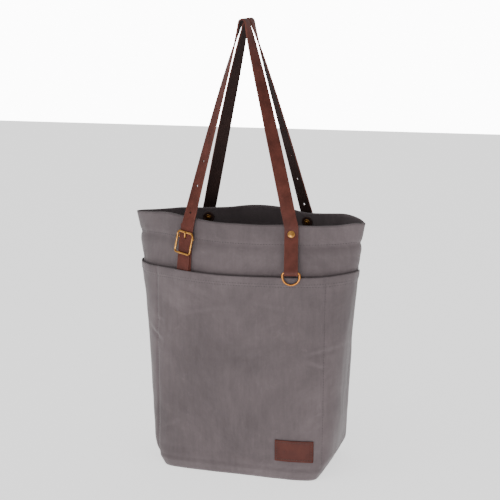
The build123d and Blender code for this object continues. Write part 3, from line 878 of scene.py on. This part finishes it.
for prefix, side in (("front", 1), ("back", -1)):
    lie = FRAME_FLOOR + WIRE
    loop = sweep(wire_frames(buckle_loop(), buckle_plot, lie), round_section(WIRE), closed=True)
    for vert in loop.verts:
        away = vert.co - buckle_plot.origin
        across, along = away.dot(buckle_plot.across), away.dot(buckle_plot.along)
        if along > FRAME_HEIGHT / 2 - 2.5 * MM:
            # The top bar is heavier, and heaviest at its two ends.
            ends = hump(abs(across), FRAME_WIDTH / 2 - 1 * MM, 2.6 * MM)
            centre = buckle_plot.at(across, FRAME_HEIGHT / 2, lie)
            grown = (vert.co - centre) * (1.12 + 0.3 * ends)
            vert.co = centre + grown
    bar = bmesh.new()
    place = buckle_plot.matrix() @ Matrix.Translation((0, BAR_RISE, TAIL_FLOOR - 0.5 * MM))
    flat = Matrix.Diagonal((0.3, 1.6, 1, 1))
    bmesh.ops.create_cone(
        bar, cap_ends=True, segments=16, radius1=WIRE, radius2=WIRE, depth=FRAME_WIDTH,
        matrix=place @ Matrix.Rotation(math.pi / 2, 4, "Y") @ flat,
    )
    top = FRAME_HEIGHT / 2
    path = [
        buckle_plot.at(0, BAR_RISE, TAIL_FLOOR), buckle_plot.at(0, BAR_RISE, FRAME_FLOOR),
        buckle_plot.at(0, BAR_RISE + 2 * MM, FRAME_FLOOR + 1.7 * MM),
        buckle_plot.at(0, top - 3.5 * MM, FRAME_FLOOR + 2.3 * MM),
        buckle_plot.at(0, top + 0.6 * MM, FRAME_FLOOR + 2 * WIRE + 0.7 * MM),
    ]
    stops = [(point, buckle_plot.across) for point in path]
    tongue = sweep(frames_along(stops, 1 * MM), round_section(1.15 * MM, 10))
    frame_piece = finish_mesh(
        turned(joined([loop, bar, tongue]), side), f"{prefix}_buckle_frame", [brass]
    )
    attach(frame_piece, "bag")
    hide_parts(f"{prefix}_buckle")

# ---- Rivets, washers and burrs --------------------------------------------------------
# A domed brass rivet goes through the doubled strap and a flat one through the anchor.
# Inside the bag each post passes a dark leather washer and is peened over a brass burr.

INSIDE = 3.9 * MM
WASHER_STEP = 2.3


def turned_disc(profile, place):
    """A disc spun from a profile of (radius, height) points, in millimetres."""
    disc = bmesh.new()
    verts = [disc.verts.new((radius * MM, 0, height * MM)) for radius, height in profile]
    edges = [disc.edges.new(pair) for pair in zip(verts, verts[1:])]
    bmesh.ops.spin(
        disc, geom=verts + edges, cent=(0, 0, 0), axis=(0, 0, 1), angle=math.tau, steps=36,
        use_merge=True,
    )
    bmesh.ops.remove_doubles(disc, verts=disc.verts, dist=1e-6)
    bmesh.ops.recalc_face_normals(disc, faces=disc.faces)
    bmesh.ops.transform(disc, matrix=place, verts=disc.verts)
    return disc


# Radius and height in millimetres, from the middle of the foot to the middle of the top.
dome = [(0, 0), (5.2, 0), (5.5, 0.25), (5.45, 0.6)]
for angle in range(10, 90, 10):
    turn = math.radians(angle)
    dome.append((5.2 * math.cos(turn), 0.7 + 1.6 * math.sin(turn)))
dome.append((0, 2.3))
flat_head = [(0, 0), (5.2, 0), (5.5, 0.3), (5.1, 0.75), (0, 0.8)]
washer_shape = [
    (0, 0), (8.3, 0), (8.75, 0.5), (8.75, 1.9), (8.2, 2.5), (5.2, 2.5), (4.6, WASHER_STEP),
    (0, WASHER_STEP),
]
burr_shape = [
    (0, 0), (4.5, 0), (4.75, 0.3), (4.4, 0.8), (3.0, 1.0), (2.3, 0.9), (1.9, 1.3), (1.2, 1.55),
    (0, 1.65),
]

dark_leather = strap_leather("veg_tan_washer_dark", "#46302c", "#30201e", 0.6, 0.1)

for prefix, side in (("front", 1), ("back", -1)):
    domed = ring_plot.matrix() @ Matrix.Translation((0, 0, RING_FLOOR + 2 * LEATHER))
    flat = anchor_plot.matrix() @ Matrix.Translation((0, 0, ANCHOR_FLOOR + LEATHER))
    heads = joined([turned_disc(dome, domed), turned_disc(flat_head, flat)])
    head = finish_mesh(turned(heads, side), f"{prefix}_rivet_heads", [brass], 60)
    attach(head, "bag")
    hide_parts(f"{prefix}_rivets")
    inward = Matrix.Rotation(math.pi, 4, "X")
    washers, burrs = [], []
    for plot in (rim_plot, anchor_plot):
        washer_place = Matrix.Translation((0, 0, -INSIDE))
        washers.append(turned_disc(washer_shape, plot.matrix() @ washer_place @ inward))
        burr_place = Matrix.Translation((0, 0, -INSIDE - WASHER_STEP * MM))
        burrs.append(turned_disc(burr_shape, plot.matrix() @ burr_place @ inward))
    washer = finish_mesh(
        turned(joined(washers), side), f"{prefix}_washer_leather", [dark_leather], 30
    )
    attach(washer, "bag")
    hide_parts(f"{prefix}_rivet_washers")
    burr = finish_mesh(turned(joined(burrs), side), f"{prefix}_burr_caps", [brass], 40)
    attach(burr, "bag")
    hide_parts(f"{prefix}_rivet_burrs")

# ---- D-rings --------------------------------------------------------------------------
# Bent and brazed brass wire, copper-toned. The straight side turns in the folded strap.

RING_WIRE = 1.5 * MM
RING_HALF = 12.5 * MM
RING_LENGTH = 18 * MM
RING_CORNER = 3 * MM

copper_brass = antique_brass("antique_brass_wire", "#c98544", "#8f5726", 0.26)


def d_loop():
    """The wire's middle line: a straight bar, two bends and a round bow."""
    shoulder = RING_HALF - RING_LENGTH
    bar = RING_HALF - RING_CORNER
    points = [(bar * (n / 4 - 1), 0.0) for n in range(8)]
    points += arc((bar, -RING_CORNER), RING_CORNER, 90, 0, 6)
    points += arc((0, shoulder), RING_HALF, 0, -180, 30)
    points += arc((-bar, -RING_CORNER), RING_CORNER, 180, 90, 6)[:-1]
    return points


for prefix, side in (("front", 1), ("back", -1)):
    hang = Plot(1, END_PITCH)
    hang.origin = ring_plot.at(0, -RING_DROP, RING_BAR)
    hang.along = Vector((0, 0, 1))
    hang.out = hang.across.cross(hang.along)
    wire = sweep(wire_frames(d_loop(), hang, 0), round_section(RING_WIRE), closed=True)
    ring = finish_mesh(turned(wire, side), f"{prefix}_ring_wire", [copper_brass], 60)
    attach(ring, f"{prefix}_d_ring_body")
    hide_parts(f"{prefix}_d_ring")

# ---- Leather patch --------------------------------------------------------------------
# A blank rectangle of the strap leather, sewn to the pocket low on the right, with its
# edges pared and pressed down by the stitching.

PATCH_LOW, PATCH_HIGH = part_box("leather_patch")
PATCH_CORNER = 1.2 * MM
PATCH_MARGIN = 3.2 * MM
PATCH_THICK = 1.8 * MM
PATCH_COLUMNS = 44
PATCH_ROWS = 28


def patch_point(u, v, lift):
    """A point of the patch from its own shares across and up, and the way out of it."""
    width, height = PATCH_HIGH.x - PATCH_LOW.x, PATCH_HIGH.z - PATCH_LOW.z
    x, z = (u - 0.5) * width, (v - 0.5) * height
    inner_x, inner_z = width / 2 - PATCH_CORNER, height / 2 - PATCH_CORNER
    over = Vector((max(0.0, abs(x) - inner_x), max(0.0, abs(z) - inner_z)))
    if over.x and over.y:
        over = over.normalized() * max(over)
        x, z = math.copysign(inner_x + over.x, x), math.copysign(inner_z + over.y, z)
    middle = (PATCH_LOW + PATCH_HIGH) / 2
    place, out = pocket_place(middle.x + x, middle.z + z)
    edge = min(width / 2 - abs(x), height / 2 - abs(z))
    pressed = 0.35 * MM * hump(edge, PATCH_MARGIN, 1.1 * MM)
    pared = 0.5 * MM * hump(edge, 0, 0.9 * MM)
    return place + out * (lift - (pressed + pared) * min(1, lift / PATCH_THICK)), out


patch_mesh = bmesh.new()
bmesh.ops.create_grid(patch_mesh, x_segments=PATCH_COLUMNS, y_segments=PATCH_ROWS, size=0.5)
for vert in patch_mesh.verts:
    vert.co = patch_point(vert.co.x + 0.5, vert.co.y + 0.5, PATCH_THICK)[0]
bmesh.ops.recalc_face_normals(patch_mesh, faces=patch_mesh.faces)
patch_leather = strap_leather("veg_tan_patch_brown", "#592b22", "#471f18", 0.5, 0.03)
patch = finish_mesh(patch_mesh, "patch_leather", [patch_leather, cut_edge])
outward = patch.data.polygons[0].normal.y < 0
wall = patch.modifiers.new("wall", "SOLIDIFY")
wall.thickness = PATCH_THICK - 0.1 * MM
wall.offset = -1 if outward else 1
wall.material_offset_rim = 1
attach(patch, "bag")
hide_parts("leather_patch")

border = bmesh.new()
width, height = PATCH_HIGH.x - PATCH_LOW.x, PATCH_HIGH.z - PATCH_LOW.z
margin_u, margin_v = PATCH_MARGIN / width, PATCH_MARGIN / height
corners = [
    (margin_u, margin_v), (1 - margin_u, margin_v),
    (1 - margin_u, 1 - margin_v), (margin_u, 1 - margin_v),
]
for (u0, v0), (u1, v1) in zip(corners, [*corners[1:], corners[0]]):
    line = [
        patch_point(u0 + (u1 - u0) * n / 30, v0 + (v1 - v0) * n / 30, PATCH_THICK)
        for n in range(31)
    ]
    sew(border, line, gap=0.9 * MM)
brown_thread = cotton_thread("cotton_thread_brown", "#3a231e")
stitches = finish_mesh(border, "patch_stitching", [brown_thread])
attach(stitches, "bag")

# ---- Seam bindings --------------------------------------------------------------------
# Cotton tape folded over the raw edges of each side seam, inside the bag.


def cotton_tape(name, light, dark):
    """Woven cotton tape: matte, with a fine rib across it every millimetre."""
    material, tree = new_material(name)
    place = add(tree, "ShaderNodeTexCoord")
    rib = add(tree, "ShaderNodeTexWave", [("Vector", place, "Object")],
              bands_direction="Z", Scale=math.tau / (20 * MM), Distortion=1.0)
    fuzz = add(tree, "ShaderNodeTexNoise", [("Vector", place, "Object")], Scale=300.0)
    tone = ramp(tree, fuzz, "Fac", [(0.35, colour(dark)), (0.65, colour(light))])
    bump = add(tree, "ShaderNodeBump", [("Height", rib, "Fac")], Strength=0.4, Distance=0.2 * MM)
    shader = add(tree, "ShaderNodeBsdfPrincipled",
                 [("Base Color", tone, "Color"), ("Normal", bump, "Normal")],
                 Roughness=0.9, Sheen_Weight=0.3)
    add(tree, "ShaderNodeOutputMaterial", [("Surface", shader, "BSDF")])
    return material


tape = cotton_tape("cotton_seam_tape", "#433a3b", "#332c2d")
for node in ("left_seam_binding", "right_seam_binding"):
    for material_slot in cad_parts[node].material_slots:
        material_slot.material = tape

# ---- Floor, light and camera ----------------------------------------------------------
# A pale floor under the bag, a soft light in front of it and another overhead.

floor_mesh = bmesh.new()
bmesh.ops.create_grid(floor_mesh, x_segments=1, y_segments=1, size=4.0)
floor_material, tree = new_material("pale_floor")
shader = add(tree, "ShaderNodeBsdfPrincipled", Base_Color=colour("#fbfbfb"), Roughness=0.9,
             Emission_Color=(1, 1, 1, 1), Emission_Strength=1.1)
add(tree, "ShaderNodeOutputMaterial", [("Surface", shader, "BSDF")])
floor = finish_mesh(floor_mesh, "floor", [floor_material])

world = bpy.data.worlds.new("studio")
world.use_nodes = True
sky = world.node_tree
ray = add(sky, "ShaderNodeLightPath")
strength = add(sky, "ShaderNodeMapRange", [("Value", ray, "Is Camera Ray")],
               To_Min=0.58, To_Max=12.0)
sky.links.new(strength.outputs["Result"], sky.nodes["Background"].inputs["Strength"])
sky.nodes["Background"].inputs["Color"].default_value = (1, 1, 1, 1)
bpy.context.scene.world = world


def soft_light(name, place, target, size, power):
    light = bpy.data.lights.new(name, "AREA")
    light.size = size
    light.energy = power
    holder = bpy.data.objects.new(name, light)
    bpy.context.scene.collection.objects.link(holder)
    holder.location = place
    holder.rotation_euler = (Vector(target) - Vector(place)).to_track_quat("-Z", "Y").to_euler()


soft_light("key", (0.1, -1.6, 0.12), (0.01, 0, 0.13), 0.5, 8.5)
soft_light("top", (-0.6, -0.9, 2.2), (0, 0, 0.3), 1.5, 5)

CAMERA_AZIMUTH = math.radians(17.44)
CAMERA_ELEVATION = math.radians(12.77)
CAMERA_ROLL = math.radians(-0.6)
CAMERA_DISTANCE = 1.8553
CAMERA_LENS = 88.2072
CAMERA_TARGET = Vector((0.0017, 0, 0.3325))
camera_data = bpy.data.cameras.new("camera")
camera_data.sensor_width = 36
camera_data.lens = CAMERA_LENS
camera = bpy.data.objects.new("camera", camera_data)
bpy.context.scene.collection.objects.link(camera)
back = Vector((
    math.sin(CAMERA_AZIMUTH) * math.cos(CAMERA_ELEVATION),
    -math.cos(CAMERA_AZIMUTH) * math.cos(CAMERA_ELEVATION),
    math.sin(CAMERA_ELEVATION),
))
right = Vector((math.cos(CAMERA_AZIMUTH), math.sin(CAMERA_AZIMUTH), 0))
up = back.cross(right)
tilted_right = right * math.cos(CAMERA_ROLL) + up * math.sin(CAMERA_ROLL)
tilted_up = back.cross(tilted_right)
turn = Matrix((tilted_right, tilted_up, back)).transposed()
camera.matrix_world = Matrix.Translation(CAMERA_TARGET + back * CAMERA_DISTANCE) @ turn.to_4x4()
bpy.context.scene.camera = camera
